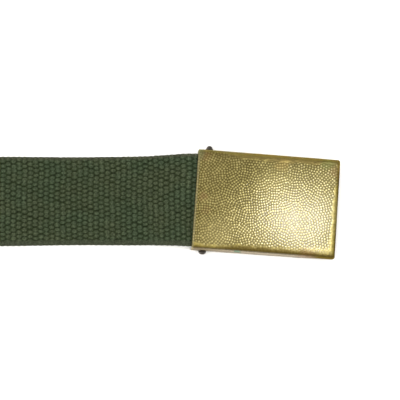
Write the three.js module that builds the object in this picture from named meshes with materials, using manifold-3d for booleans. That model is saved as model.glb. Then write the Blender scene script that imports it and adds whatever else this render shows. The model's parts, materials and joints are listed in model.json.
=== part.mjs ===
// A canvas web belt, laid out straight and face up on a flat surface.
// A woven strap is gripped inside a stamped box buckle by a toothed jaw that turns on a cross pin.
// Its free end, in a folded metal tip, passes behind the buckle's face and over a friction bar.
// Millimetres. +X runs along the belt towards the buckle, +Y across it, and +Z up from the surface.
// The origin is on that surface, under the middle of the belt's length.
import * as THREE from "three";
import { mergeVertices } from "three/addons/utils/BufferGeometryUtils.js";
import Module from "manifold-3d";

// Strap
const strapLength = 1100;
const strapWidth = 38;
const strapThickness = 2;
const strapSpread = 1.5; // extra width where the jaw flattens the webbing
const strapWander = 0.6; // how far the woven width varies along the belt
const strapInside = 24; // length held inside the buckle
const leadInLength = 32; // stretch that rises from the surface into the buckle

// End tip, one folded sheet crimped over the strap's end
const tipLength = 12;
const tipSheet = 0.4;
const tipRiseLength = 20; // stretch of strap that comes down from the tip to the surface
const crimpedThickness = 1.2; // of the strap inside the tip

// Buckle box, one stamped sheet with two flanges and a lip
const buckleLength = 60;
const boxSheet = 0.8;
const shoulderReach = 1.8; // how far in from the edge the face starts to fall away
const shoulderDrop = 1.8; // how far it falls before it is a flange
const faceCrown = 0.4; // rise of the middle of the face
const cornerRadius = 1.1; // the two corners at the lip, seen from above
const anvilLength = 7; // cross strip soldered inside, which the jaw presses the strap against
const buckleYaw = -4.3; // degrees, how the buckle sits askew on the strap

// Hinge pin and friction bar
const pinRadius = 1;
const pinHeadRadius = 1.6;
const pinLowerHeadLength = 1.6; // the pin sits towards the upper flange
const pinUpperHeadLength = 2.7;
const pinFromEnd = 4.9; // pin axis from the box's open end
const barRadius = 1.6;
const barFromLip = 15.5; // bar axis from the box's lip
const earRadius = 3.5; // round ear of the flange, about the bar

// Clamp jaw, one sheet rolled round the pin
const jawSheet = 0.7;
const leverLength = 17.5; // from the pin axis
const leverLip = 1.2; // turned-down edge for a fingertip
const toothCount = 12;
const toothHeight = 0.9;
const toothThickness = 0.7;
const toothFromPin = 3.2;

// Clearances
const seatGap = 0.3; // between pieces that press on each other
const crimpGap = 0.2; // strap to tip
const crimpEndGap = 0.6; // strap's end to the tip's fold
const runGap = 0.15; // round a pin or bar in its hole
const passGap = 0.2; // free end behind the face
const strapSideGap = 0.45; // strap to flange, on each side
const jawSideGap = 1.4; // jaw to flange, on each side
const curlLift = 0.2; // the jaw's roll above the surface

// Smoothness of round forms
const roundSegments = 24;
const bendSegments = 8;
const strapEdgeSegments = 5;

// The lower edge of each flange: along as a share of buckleLength, deep as a share of flangeDepth.
const FLANGE_EDGE = [
  { along: 0, deep: 1 },
  { along: 0.62, deep: 0.79 },
  { along: 0.8, deep: 0.68 },
  { along: 0.87, deep: 0.45 },
  { along: 1, deep: 0.34 },
];

// Half of a head of the hinge pin, from its tip to the flange: round as a share of pinHeadRadius,
// out as a share of the head's length.
const PIN_HEAD = [
  { round: 0, out: 1 },
  { round: 0.36, out: 0.97 },
  { round: 0.62, out: 0.87 },
  { round: 0.77, out: 0.71 },
  { round: 0.82, out: 0.56 },
  { round: 1, out: 0.48 },
  { round: 1, out: 0 },
];

// The stretch below the tip's mouth: along as a share of tipRiseLength, lift as a share of the tip's rise,
// full as a share of the way from the crimped to the whole thickness.
const TIP_RISE = [
  { along: 0.12, lift: 0.95, full: 0.7 },
  { along: 0.25, lift: 0.8, full: 1 },
  { along: 0.5, lift: 0.4, full: 1 },
  { along: 0.75, lift: 0.1, full: 1 },
  { along: 1, lift: 0, full: 1 },
];

// The stretch that lies flat: along as a share of it, wide as a share of strapWander.
const FLAT_STRETCH = [
  { along: 0.1, wide: -0.6 },
  { along: 0.22, wide: 0.5 },
  { along: 0.34, wide: -0.3 },
  { along: 0.46, wide: 0.7 },
  { along: 0.57, wide: -0.5 },
  { along: 0.68, wide: 0.4 },
  { along: 0.79, wide: -0.4 },
  { along: 0.88, wide: 0.3 },
  { along: 0.95, wide: 0.7 },
  { along: 0.967, wide: 0 },
  { along: 0.984, wide: -0.6 },
  { along: 1, wide: 0 },
];

// The lead-in: along as a share of leadInLength, lift as a share of the rise into the buckle,
// spread as a share of strapSpread.
const LEAD_IN = [
  { along: 0.14, lift: 0.03, spread: 0 },
  { along: 0.28, lift: 0.12, spread: 0 },
  { along: 0.41, lift: 0.28, spread: 0.06 },
  { along: 0.53, lift: 0.48, spread: 0.25 },
  { along: 0.67, lift: 0.72, spread: 0.52 },
  { along: 0.8, lift: 0.9, spread: 0.75 },
  { along: 0.91, lift: 0.98, spread: 0.92 },
  { along: 1, lift: 1, spread: 1 },
];

// The stretch inside the buckle: along as a share of strapInside, spread as a share of strapSpread,
// turn as a share of buckleYaw.
const INSIDE = [
  { along: 0.12, spread: 1, turn: 0.5 },
  { along: 0.25, spread: 0.9, turn: 1 },
  { along: 0.45, spread: 0.6, turn: 1 },
  { along: 1, spread: 0, turn: 1 },
];

// Sizes that follow from the strap and its tip
const tipThickness = crimpedThickness + 2 * (crimpGap + tipSheet);
const tipWidth = strapWidth + 2 * (crimpGap + tipSheet);
const passage = Math.max(strapThickness, tipThickness) + passGap;
const boxInnerWidth = strapWidth + strapSpread + 2 * strapSideGap;
const buckleWidth = boxInnerWidth + 2 * boxSheet;
const jawWidth = boxInnerWidth - 2 * jawSideGap;

// Heights inside the box, measured down from the edge of its face
const anvilDepth = boxSheet + passage;
const strapMidDepth = anvilDepth + boxSheet + seatGap + strapThickness / 2;
const toothTipDepth = strapMidDepth + strapThickness / 2 + seatGap;
const curlInnerRadius = pinRadius + runGap;
const curlOuterRadius = curlInnerRadius + jawSheet;
const pinDepth = toothTipDepth + curlOuterRadius;
const barDepth = boxSheet + passage + barRadius;
const flangeDepth = pinDepth + curlOuterRadius + curlLift;
const barFromEnd = buckleLength - barFromLip;

// Where things lie along the belt
const beltLength = tipSheet + crimpEndGap + strapLength - strapInside + buckleLength;
const strapEndX = -beltLength / 2 + tipSheet + crimpEndGap;
const tipMouthX = strapEndX + tipLength;
const throatX = strapEndX + strapLength - strapInside;
const leadInX = throatX - leadInLength;

const wasm = await Module();
wasm.setup();

const canvas = new THREE.MeshStandardMaterial({ color: 0x424d33, roughness: 0.95, metalness: 0 });
const brass = new THREE.MeshStandardMaterial({ color: 0xb59a55, roughness: 0.4, metalness: 1 });
const steel = new THREE.MeshStandardMaterial({ color: 0x4a4642, roughness: 0.45, metalness: 1 });

// A closed geometry as a solid that can be cut and joined.
function solidOf(geometry) {
  const bare = geometry.clone();
  bare.deleteAttribute("normal");
  bare.deleteAttribute("uv");
  const merged = mergeVertices(bare, 1e-4);
  return new wasm.Manifold(
    new wasm.Mesh({
      numProp: 3,
      vertProperties: merged.attributes.position.array,
      triVerts: new Uint32Array(merged.index.array),
    }),
  );
}

function geometryOf(solid) {
  const mesh = solid.getMesh();
  const geometry = new THREE.BufferGeometry();
  geometry.setAttribute("position", new THREE.BufferAttribute(mesh.vertProperties, 3));
  geometry.setIndex(new THREE.BufferAttribute(mesh.triVerts, 1));
  return geometry;
}

function named(name, geometry, material) {
  const mesh = new THREE.Mesh(geometry, material);
  mesh.name = name;
  return mesh;
}

// A shape drawn in (Y, Z), (X, Z) or (X, Y), extruded from one place to another along the third axis.
function extruded(shape, axis, from, to) {
  const options = { depth: to - from, bevelEnabled: false, curveSegments: bendSegments };
  const geometry = new THREE.ExtrudeGeometry(shape, options);
  const x = new THREE.Vector3(1, 0, 0);
  const y = new THREE.Vector3(0, 1, 0);
  const z = new THREE.Vector3(0, 0, 1);
  if (axis === "x") {
    geometry.translate(0, 0, from).applyMatrix4(new THREE.Matrix4().makeBasis(y, z, x));
  } else if (axis === "y") {
    geometry.translate(0, 0, -to).applyMatrix4(new THREE.Matrix4().makeBasis(x, z, y.negate()));
  } else {
    geometry.translate(0, 0, from);
  }
  return solidOf(geometry);
}

// A round bar across the belt, through (x, z).
function crossCylinder(radius, length, x, z) {
  return solidOf(new THREE.CylinderGeometry(radius, radius, length, roundSegments).translate(x, 0, z));
}

// The outline across the box: two walls, two rounded shoulders and a crowned face between them.
function crossOutline(width, faceZ, reach, drop, floorZ) {
  const half = width / 2;
  const shape = new THREE.Shape();
  shape.moveTo(-half, floorZ);
  shape.lineTo(half, floorZ);
  shape.lineTo(half, faceZ - drop);
  shape.absellipse(half - reach, faceZ - drop, reach, drop, 0, Math.PI / 2, false, 0);
  shape.quadraticCurveTo(0, faceZ + 2 * faceCrown, reach - half, faceZ);
  shape.absellipse(reach - half, faceZ - drop, reach, drop, Math.PI / 2, Math.PI, false, 0);
  shape.closePath();
  return shape;
}

// The outline along the box: a lower edge, a rounded lip at the far end and a crowned face.
function lengthOutline(start, end, faceZ, reach, drop, lowerEdge) {
  const shape = new THREE.Shape();
  shape.moveTo(start, lowerEdge[0].z);
  for (const point of lowerEdge) shape.lineTo(point.x, point.z);
  shape.lineTo(end, faceZ - drop);
  shape.absellipse(end - reach, faceZ - drop, reach, drop, 0, Math.PI / 2, false, 0);
  shape.quadraticCurveTo((start + end - reach) / 2, faceZ + 2 * faceCrown, start, faceZ);
  shape.closePath();
  return shape;
}

// The outline from above, with its two corners at the lip rounded.
function planOutline(start, end, width, radius) {
  const half = width / 2;
  const shape = new THREE.Shape();
  shape.moveTo(start, -half);
  shape.lineTo(end - radius, -half);
  shape.absarc(end - radius, radius - half, radius, -Math.PI / 2, 0, false);
  shape.absarc(end - radius, half - radius, radius, 0, Math.PI / 2, false);
  shape.lineTo(start, half);
  shape.closePath();
  return shape;
}

// The outside of the box as a solid, with a round ear on each flange about the bar.
function boxOutside() {
  const beyond = boxSheet;
  const lowerEdge = FLANGE_EDGE.map((row) => ({
    x: row.along * buckleLength,
    z: flangeDepth * (1 - row.deep),
  }));
  const across = crossOutline(buckleWidth, flangeDepth, shoulderReach, shoulderDrop, -beyond);
  const along = lengthOutline(0, buckleLength, flangeDepth, shoulderReach, shoulderDrop, lowerEdge);
  const above = planOutline(0, buckleLength, buckleWidth, cornerRadius);
  const profile = extruded(along, "y", -buckleWidth, buckleWidth)
    .add(crossCylinder(earRadius, 2 * buckleWidth, barFromEnd, flangeDepth - barDepth));
  return extruded(across, "x", -beyond, buckleLength + beyond)
    .intersect(profile)
    .intersect(extruded(above, "z", -beyond, flangeDepth + 2 * faceCrown));
}

// The space inside it, one sheet smaller, and open at the hinge end and behind.
function boxInside() {
  const start = -2 * boxSheet;
  const floorZ = -2 * boxSheet;
  const end = buckleLength - boxSheet;
  const faceZ = flangeDepth - boxSheet;
  const reach = shoulderReach - boxSheet;
  const drop = shoulderDrop - boxSheet;
  const open = [
    { x: start, z: floorZ },
    { x: end, z: floorZ },
  ];
  const across = crossOutline(boxInnerWidth, faceZ, reach, drop, floorZ);
  const along = lengthOutline(start, end, faceZ, reach, drop, open);
  const above = planOutline(start, end, boxInnerWidth, cornerRadius - boxSheet);
  return extruded(across, "x", start, buckleLength)
    .intersect(extruded(along, "y", -buckleWidth, buckleWidth))
    .intersect(extruded(above, "z", floorZ, flangeDepth + 2 * faceCrown));
}

function makeBox() {
  const anvil = new THREE.BoxGeometry(anvilLength, boxInnerWidth + boxSheet, boxSheet);
  const anvilX = pinFromEnd + toothFromPin + toothThickness / 2;
  anvil.translate(anvilX, 0, flangeDepth - anvilDepth - boxSheet / 2);
  const through = 2 * buckleWidth;
  return boxOutside()
    .subtract(boxInside())
    .add(solidOf(anvil))
    .subtract(crossCylinder(pinRadius + runGap, through, pinFromEnd, flangeDepth - pinDepth))
    .subtract(crossCylinder(barRadius + runGap, through, barFromEnd, flangeDepth - barDepth));
}

// The pin: a shaft through both flanges with a collared, domed head outside each.
function makePin() {
  const outside = buckleWidth / 2 + runGap;
  const head = (length) => {
    const rows = PIN_HEAD.map((row) => ({ radius: row.round * pinHeadRadius, out: row.out * (length - runGap) }));
    return [...rows, { radius: pinRadius, out: 0 }];
  };
  const lower = head(pinLowerHeadLength).map((row) => new THREE.Vector2(row.radius, -outside - row.out));
  const upper = head(pinUpperHeadLength).map((row) => new THREE.Vector2(row.radius, outside + row.out));
  const pin = new THREE.LatheGeometry([...lower, ...upper.reverse()], roundSegments);
  return pin.translate(pinFromEnd, 0, flangeDepth - pinDepth);
}

// The jaw: a roll round the pin, a flat lever with a turned-down edge, and a row of teeth facing the strap.
function makeJaw() {
  const pinZ = flangeDepth - pinDepth;
  const leverTop = flangeDepth - toothTipDepth - toothHeight;
  const leverEnd = pinFromEnd + leverLength;
  const half = jawWidth / 2;
  const lever = new THREE.Shape();
  lever.moveTo(pinFromEnd, leverTop - jawSheet);
  lever.lineTo(leverEnd - jawSheet, leverTop - jawSheet);
  lever.lineTo(leverEnd - jawSheet, leverTop - leverLip);
  lever.lineTo(leverEnd, leverTop - leverLip);
  lever.lineTo(leverEnd, leverTop);
  lever.lineTo(pinFromEnd, leverTop);
  lever.closePath();
  let jaw = crossCylinder(curlOuterRadius, jawWidth, pinFromEnd, pinZ).add(extruded(lever, "y", -half, half));
  const pitch = jawWidth / toothCount;
  const rootZ = leverTop - jawSheet / 2;
  const toothX = pinFromEnd + toothFromPin;
  for (let i = 0; i < toothCount; i++) {
    const middle = -half + (i + 0.5) * pitch;
    const tooth = new THREE.Shape();
    tooth.moveTo(middle - pitch / 2, rootZ);
    tooth.lineTo(middle + pitch / 2, rootZ);
    tooth.lineTo(middle, leverTop + toothHeight);
    tooth.closePath();
    jaw = jaw.add(extruded(tooth, "x", toothX, toothX + toothThickness));
  }
  return jaw.subtract(crossCylinder(curlInnerRadius, 2 * jawWidth, pinFromEnd, pinZ));
}

// The side view of the folded tip, or of the pocket inside it, about the fold's axis.
function foldOutline(foldX, openX, radius) {
  const midZ = tipThickness / 2;
  const shape = new THREE.Shape();
  shape.moveTo(openX, midZ - radius);
  shape.lineTo(openX, midZ + radius);
  shape.lineTo(foldX, midZ + radius);
  shape.absarc(foldX, midZ, radius, Math.PI / 2, (3 * Math.PI) / 2, false);
  shape.closePath();
  return shape;
}

function makeTip() {
  const foldX = -beltLength / 2 + tipThickness / 2;
  const pocketRadius = tipThickness / 2 - tipSheet;
  const half = tipWidth / 2;
  const outside = extruded(foldOutline(foldX, tipMouthX, tipThickness / 2), "y", -half, half);
  const pocket = foldOutline(foldX, tipMouthX + tipSheet, pocketRadius);
  return outside.subtract(extruded(pocket, "y", tipSheet - half, half - tipSheet));
}

// One cross-section of the strap: flat faces and rounded edges.
function strapSection({ centre, across, up, width, thickness }) {
  const edge = thickness / 2;
  const points = [];
  for (const side of [1, -1]) {
    for (let i = 0; i <= strapEdgeSegments; i++) {
      const angle = side * (i / strapEdgeSegments - 0.5) * Math.PI;
      const out = side * (width / 2 - edge + edge * Math.cos(angle));
      points.push(centre.clone().addScaledVector(across, out).addScaledVector(up, edge * Math.sin(angle)));
    }
  }
  return points;
}

// A closed surface through rings of equally many points, with flat ends.
function loft(rings) {
  const count = rings[0].length;
  const index = [];
  for (let r = 0; r + 1 < rings.length; r++) {
    for (let i = 0; i < count; i++) {
      const here = r * count + i;
      const next = r * count + ((i + 1) % count);
      index.push(here, next, here + count);
      index.push(next, next + count, here + count);
    }
  }
  const last = (rings.length - 1) * count;
  for (let i = 1; i + 1 < count; i++) {
    index.push(0, i + 1, i);
    index.push(last, last + i, last + i + 1);
  }
  const geometry = new THREE.BufferGeometry();
  const positions = rings.flat().flatMap((point) => [point.x, point.y, point.z]);
  geometry.setAttribute("position", new THREE.Float32BufferAttribute(positions, 3));
  geometry.setIndex(index);
  return geometry;
}

// The strap outside the buckle: from its end in the tip, down to the surface, along it and up to the buckle.
function outsideRows(throatZ) {
  const flatZ = strapThickness / 2;
  const tipZ = tipThickness / 2;
  const rows = [
    { x: strapEndX, z: tipZ, width: strapWidth, thickness: crimpedThickness },
    { x: tipMouthX, z: tipZ, width: strapWidth, thickness: crimpedThickness },
  ];
  for (const row of TIP_RISE) {
    rows.push({
      x: tipMouthX + row.along * tipRiseLength,
      z: flatZ + row.lift * (tipZ - flatZ),
      width: strapWidth,
      thickness: crimpedThickness + row.full * (strapThickness - crimpedThickness),
    });
  }
  const flatX = tipMouthX + tipRiseLength;
  for (const row of FLAT_STRETCH) {
    rows.push({
      x: flatX + row.along * (leadInX - flatX),
      z: flatZ,
      width: strapWidth + row.wide * strapWander,
      thickness: strapThickness,
    });
  }
  for (const row of LEAD_IN) {
    rows.push({
      x: leadInX + row.along * leadInLength,
      z: flatZ + row.lift * (throatZ - flatZ),
      width: strapWidth + row.spread * strapSpread,
      thickness: strapThickness,
    });
  }
  return rows;
}

function makeStrap(buckle) {
  const throat = buckle.localToWorld(new THREE.Vector3(0, 0, flangeDepth - strapMidDepth));
  const rows = outsideRows(throat.z);
  const rings = rows.map((row, i) => {
    const before = rows[Math.max(i - 1, 0)];
    const after = rows[Math.min(i + 1, rows.length - 1)];
    const slope = Math.atan2(after.z - before.z, after.x - before.x);
    return strapSection({
      centre: new THREE.Vector3(row.x, 0, row.z),
      across: new THREE.Vector3(0, 1, 0),
      up: new THREE.Vector3(-Math.sin(slope), 0, Math.cos(slope)),
      width: row.width,
      thickness: row.thickness,
    });
  });
  const yaw = buckle.rotation.z;
  for (const row of INSIDE) {
    const turnLeft = (row.turn - 1) * yaw;
    rings.push(
      strapSection({
        centre: buckle.localToWorld(new THREE.Vector3(row.along * strapInside, 0, flangeDepth - strapMidDepth)),
        across: new THREE.Vector3(-Math.sin(turnLeft), Math.cos(turnLeft), 0)
          .transformDirection(buckle.matrixWorld),
        up: new THREE.Vector3(0, 0, 1).transformDirection(buckle.matrixWorld),
        width: strapWidth + row.spread * strapSpread,
        thickness: strapThickness,
      }),
    );
  }
  return loft(rings);
}

// How far the box tips towards its lip when its flanges stand on the surface:
// on their corners at the hinge end, and on whatever reaches it next.
function restPitch() {
  const rise = flangeDepth - barDepth;
  const earAngle = Math.atan2(rise, barFromEnd) - Math.asin(earRadius / Math.hypot(rise, barFromEnd));
  const edgeAngles = FLANGE_EDGE.slice(1).map((row) =>
    Math.atan2(flangeDepth * (1 - row.deep), buckleLength * row.along),
  );
  return Math.min(earAngle, ...edgeAngles);
}

const buckle = new THREE.Group();
buckle.position.set(throatX, 0, 0);
buckle.rotation.set(0, restPitch(), THREE.MathUtils.degToRad(buckleYaw), "ZYX");
buckle.updateMatrixWorld(true);

const bar = new THREE.CylinderGeometry(barRadius, barRadius, buckleWidth, roundSegments);
bar.translate(barFromEnd, 0, flangeDepth - barDepth);

buckle.add(named("buckle_box", geometryOf(makeBox()), brass));
buckle.add(named("hinge_pin", makePin(), steel));
buckle.add(named("clamp_jaw", geometryOf(makeJaw()), steel));
buckle.add(named("friction_bar", bar, steel));

const belt = new THREE.Group();
belt.add(named("strap", makeStrap(buckle), canvas));
belt.add(named("belt_tip", geometryOf(makeTip()), brass));
belt.add(buckle);

export default belt;
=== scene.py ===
# The looks of a canvas web belt: woven webbing, a pebbled box buckle in old brass, dark steel
# fittings and a folded brass tip, lying straight and face up on a pale surface.
# Lengths here are millimetres until a mesh is made. Blender's own objects are in metres.
import json
import math

import bmesh
import bpy
import numpy as np
from mathutils import Matrix, Vector, kdtree
from mathutils.bvhtree import BVHTree
from mathutils.geometry import delaunay_2d_cdt


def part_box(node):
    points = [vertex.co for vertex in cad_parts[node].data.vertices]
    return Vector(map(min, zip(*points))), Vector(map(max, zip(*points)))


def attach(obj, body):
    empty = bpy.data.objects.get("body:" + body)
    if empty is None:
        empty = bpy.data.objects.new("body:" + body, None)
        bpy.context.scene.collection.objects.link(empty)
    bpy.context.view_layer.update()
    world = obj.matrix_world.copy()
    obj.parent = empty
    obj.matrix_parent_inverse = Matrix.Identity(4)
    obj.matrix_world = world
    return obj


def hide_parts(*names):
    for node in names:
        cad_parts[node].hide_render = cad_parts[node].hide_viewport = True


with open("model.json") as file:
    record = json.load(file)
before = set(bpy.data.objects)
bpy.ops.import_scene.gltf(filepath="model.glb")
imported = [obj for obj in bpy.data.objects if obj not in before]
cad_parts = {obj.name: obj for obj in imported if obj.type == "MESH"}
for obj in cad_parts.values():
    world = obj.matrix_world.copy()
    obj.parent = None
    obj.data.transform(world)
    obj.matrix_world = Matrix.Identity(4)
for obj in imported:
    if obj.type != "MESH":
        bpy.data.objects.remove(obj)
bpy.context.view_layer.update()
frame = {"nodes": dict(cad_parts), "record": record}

MM = 0.001
SEED = 38
TINY = 1e-6

# Camera, from the photograph's edges of the strap and the buckle
CAMERA_TARGET = (511.05, 0.38, 0.0)
CAMERA_DISTANCE = 500.0
CAMERA_ELEVATION = 84.0  # degrees
CAMERA_AZIMUTH = -0.19  # degrees
CAMERA_LENS = 105.9
SENSOR = 36.0

# Surroundings: height as the sine of the elevation, light as radiance
SURROUNDINGS = [
    {"height": 0.0, "light": (0.34, 0.33, 0.29)},
    {"height": 0.5, "light": (0.38, 0.37, 0.33)},
    {"height": 1.0, "light": (0.545, 0.52, 0.445)},
]
# Northwards, past the strap's upper edge, the light is dimmed or raised by these shares.
SURROUNDINGS_STRENGTH = 2.0  # undoes the halving of the shares below, which a ramp can't hold over 1
NORTHWARDS = {"north": (0.5, 0.535, 0.61, 0.7, 1.0), "share": (1.55, 1.45, 0.72, 0.75, 1.7)}

# The lamp near the buckle, which only glossy surfaces mirror
LAMP = {
    "aim": (551.5, -14.5, 8),
    "direction": (0.187, 0.087, 0.978),
    "distance": 130,
    "size": 36,
    "radiance": 8.0,
    "tint": (0.95, 1.0, 1.47),
}

# Broad lights for the floor and the cloth
SUN_SPREAD = 70.0  # degrees
SUNS = [
    {"name": "sun_left", "direction": (-0.6, 0.3, 1.0), "strength": 3.2},
    {"name": "sun_right", "direction": (0.6, -0.4, 1.0), "strength": 2.0},
]

# Floor
FLOOR_HALF = 30000.0
FLOOR_TONES = {"low": (0.88, 0.88, 0.88), "high": (0.92, 0.92, 0.92)}

# Weave
PICK = 2.33  # from one cross thread to the next, along the strap
WARP = 0.96  # from one lengthwise yarn to the next, across it
WARPS_EACH_SIDE = 18
YARN_REACH = 0.92  # half width of a yarn where it lies on top
YARN_SWELL = 0.38  # height of a yarn's round back
YARN_DIVE = 0.30  # how far a yarn rises and dives about the middle of its layer
FLOAT_POWER = 1.35  # over 1, the floats are shorter than the dives
FLOAT_LIFTS = (0.6, 1.25)  # shares of a float's usual height
FLOAT_WIDTHS = (0.82, 1.04)  # shares of its usual half width
FLOAT_SHIFT = 0.16  # how far a float may sit off its yarn's line
YARN_NARROWING = 0.22  # the share of its half width that a yarn has lost halfway down
GAP_DEPTH = 1.4 * YARN_DIVE  # of the gaps between yarns
COLUMN_BOW = 0.30  # how far the cross threads wander along the strap
BOW_ACROSS = 0.7  # the part of the bow that changes across the strap
YARN_WANDER = 0.10  # how far the lengthwise yarns wander across it
WANDER_SKEW = 3  # how much faster the wander changes across the strap than along it
LOWER_SELVEDGE = 2.0
UPPER_SELVEDGE = 1.3
SELVEDGE_FADE = (0.5, 0.3)  # how far inwards and outwards the weave blends into it
SELVEDGE_RIDGE = 0.06
SELVEDGE_UNEVENNESS = 0.5  # of the ridges, as a share of them
SELVEDGE_HEIGHT = 0.26
SELVEDGE_TONE = {"mean": 0.62, "wave": 0.12}
ROUND_EDGE = 1.0  # the strap's rounded edge, past its flat faces
FUZZ = 0.012

# Smooth random curves: how many waves each sums, and its shortest and longest wave
RIPPLES = {
    "bow_across": (4, 9.0, 45.0),
    "bow_along": (5, 25.0, 300.0),
    "wander": (6, 6.0, 120.0),
    "selvedge": (5, 1.7, 23.0),
    "border": (5, 3.0, 30.0),
}

# Strap pieces: the photo's stretch is the fine one
STRAP_FINE_LENGTH = 53 * PICK
FINE = {"pick_steps": 7, "warp_steps": 3}
COARSE = {"pick_steps": 4, "warp_steps": 2}
COARSE_PIECES = 4

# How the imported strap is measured
SAMPLE_STEP = 1.0
SMOOTHING = 4.0
SKEWED_END = 5.0  # where the strap is cut askew, so its line is carried on straight
END_SAMPLES = 7  # the samples that give the line's direction there
BELOW_SURFACE = 0.1  # a ray that crosses the strap starts this far inside it
LINE_INSET = 0.2

# Buckle box
BOX_LENGTH = 60.0
BOX_WIDTH = 42.0
SHEET = 0.8
SHOULDER_REACH = 1.8
SHOULDER_DROP = 1.8
CORNER = 1.1
CROWN = 0.4
FLANGE_DEPTH = 10.7
PIN_PLACE = 4.9
PIN_DEPTH = 8.65
PIN_HOLE = 1.15
BAR_PLACE = 44.5
BAR_DEPTH = 5.0
BAR_HOLE = 1.75
EAR_RADIUS = 3.5
ANVIL = {"middle": 8.45, "length": 7.0, "depth": 3.4}
RIM = 0.25  # how far the sheet's edges are rounded
FINE_STEP = 0.2
COARSE_STEP = 1.2
EDGE_STEP = 0.5
SHOULDER_STEPS = 9
INNER_SHOULDER_STEPS = 5
FRONT_STEPS = 8
HOLE_POINTS = 36
SHARP_ANGLE = 72.0  # degrees

# The lower edge of each flange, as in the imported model: along as a share of BOX_LENGTH,
# deep as a share of FLANGE_DEPTH.
FLANGE_EDGE = {"along": (0.0, 0.62, 0.8, 0.87, 1.0), "deep": (1.0, 0.79, 0.68, 0.45, 0.34)}

# Pebbles of the stamped face
PEBBLE_PITCH = 1.16
PEBBLE_RADIUS = 0.56
PEBBLE_HEIGHT = 0.048
PEBBLE_ROUNDNESS = 1.6  # power of the dome's profile
PEBBLE_SIZES = (0.84, 1.1)  # shares of the radius
PEBBLE_LIFTS = (0.6, 1.25)  # shares of the height
PEBBLE_MARGIN = 1.5 * PEBBLE_PITCH  # the field goes on this far past the face
PLAIN_TONE = 0.75  # how raised a face without pebbles looks
SETTLING_ROUNDS = 18
STEPS_A_ROUND = 8
NEIGHBOURS = 14
PUSH_REACH = 1.35  # pitches, over which pebbles push each other
PUSH_SHARE = 0.22

# The border without pebbles: clear and full are how far in from the edge they start and are full.
# at is the place along the edge: the buckle's length for the two long sides, its width for the lip.
BORDERS = {
    "upper": {"at": (8, 24, 48, 56), "clear": (0.3, 1.7, 1.9, 0.7), "full": (1.4, 3.6, 3.2, 1.6)},
    "lower": {"at": (0, 22, 36, 54), "clear": (2.0, 2.3, 1.6, 1.2), "full": (2.8, 3.3, 3.8, 5.2)},
    "lip": {"at": (-18, -10, 9, 11), "clear": (1.6, 1.6, 1.6, 0.7), "full": (4.2, 2.8, 2.5, 1.4)},
}
BORDER_WAVE = 0.35

# Where the lamp's glow falls on the face, its hollows are painted lighter: a painted reflection
PAINTED_GLOW = {"at": (48.0, -6.0, 10.8), "radius": 4.0, "soft": 30.0, "share": 0.8}

# Colours of the brass. Where there are two, clouds or scuffs mix them.
BRASS = {
    "raised": [(0.57, 0.478, 0.142), (0.63, 0.528, 0.18)],
    "hollow": [(0.145, 0.114, 0.027), (0.20, 0.16, 0.042)],
    "hollow_painted_glow": (0.27, 0.225, 0.075),
    "border": [(0.46, 0.37, 0.085), (0.68, 0.55, 0.14)],
    # The bands, bends and walls below are painted shade, for the dark reflections of the shoulders and
    # walls.
    "top_band_shade": (0.205, 0.155, 0.038),
    "top_band_shade_outside": (0.40, 0.303, 0.08),
    "top_bend_shade": (0.25, 0.187, 0.047),
    "top_bend_shade_left": (0.235, 0.20, 0.072),
    "bend": (0.10, 0.072, 0.017),
    "bottom_band_shade": (0.17, 0.125, 0.03),
    "flange": (0.44, 0.385, 0.31),
    "flange_left": (0.24, 0.20, 0.145),
    # Next: pale worn metal on the sheet's edges, with a painted highlight along them.
    "worn_edge_and_highlight": (0.68, 0.61, 0.36),
}

# Where tones of the brass start and are full, in the buckle's own axes. Two more values are their
# low and high shares.
# The bands and bends placed here are painted shade, for the shoulders' dark reflections.
UPPER_BAND = (17.3, 18.6)
UPPER_BAND_OUTSIDE = (18.9, 19.9)
UPPER_BAND_LEFT = (6.0, 24.0, 0.4, 0.95)
UPPER_BEND = (15.0, 18.0)
UPPER_BEND_LEFT = (12.0, 26.0)
LOWER_BAND = (-16.7, -19.2)
LOWER_BAND_LEFT = (4.0, 26.0, 1.4, 0.0)
LOWER_BAND_LIP = (44.0, 54.0, 0.0, 0.8)
FLANGE = (-19.8, -20.9)
FLANGE_LIP = (54.0, 46.0)
FLANGE_LEFT = (2.0, 20.0)
OPEN_END = (1.1, 0.4, 0.0, 0.4)

# Stains and pale patches of the buckle: place in its own axes, radius, reach of the soft
# edge, share of the brass that is hidden, and colour
STAINS_AND_PALE_PATCHES = [
    ((3.0, 18.6, 10.8), 0.4, 2.8, 0.28, (0.40, 0.20, 0.075)),
    ((3.2, 1.0, 10.8), 0.4, 2.2, 0.22, (0.42, 0.20, 0.085)),
    ((5.0, -4.5, 10.8), 0.4, 2.0, 0.12, (0.42, 0.20, 0.085)),
    ((36.0, 16.8, 10.8), 1.0, 3.0, 0.3, (0.50, 0.32, 0.075)),
    ((54.6, 18.9, 10.7), 1.2, 2.6, 0.55, (0.24, 0.25, 0.065)),
    ((57.8, 15.6, 10.6), 0.6, 3.0, 0.4, (0.32, 0.20, 0.07)),
    ((18.5, -20.8, 8.9), 0.9, 0.9, 0.85, (0.16, 0.27, 0.20)),
    ((48.0, -21.0, 8.5), 2.0, 4.0, 0.3, (0.26, 0.12, 0.055)),
    # A painted highlight, pale where the lamp's glow spreads towards the lip
    ((56.6, -2.0, 10.6), 3.0, 9.0, 0.12, (0.75, 0.69, 0.38)),
    ((32.0, 11.0, 10.8), 2.0, 10.0, 0.12, (0.92, 0.78, 0.27)),
    ((9.0, -14.0, 10.8), 2.0, 8.0, 0.12, (0.92, 0.78, 0.32)),
    ((0.4, 19.5, 10.4), 0.8, 2.6, 0.55, (0.25, 0.29, 0.13)),
]

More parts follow.
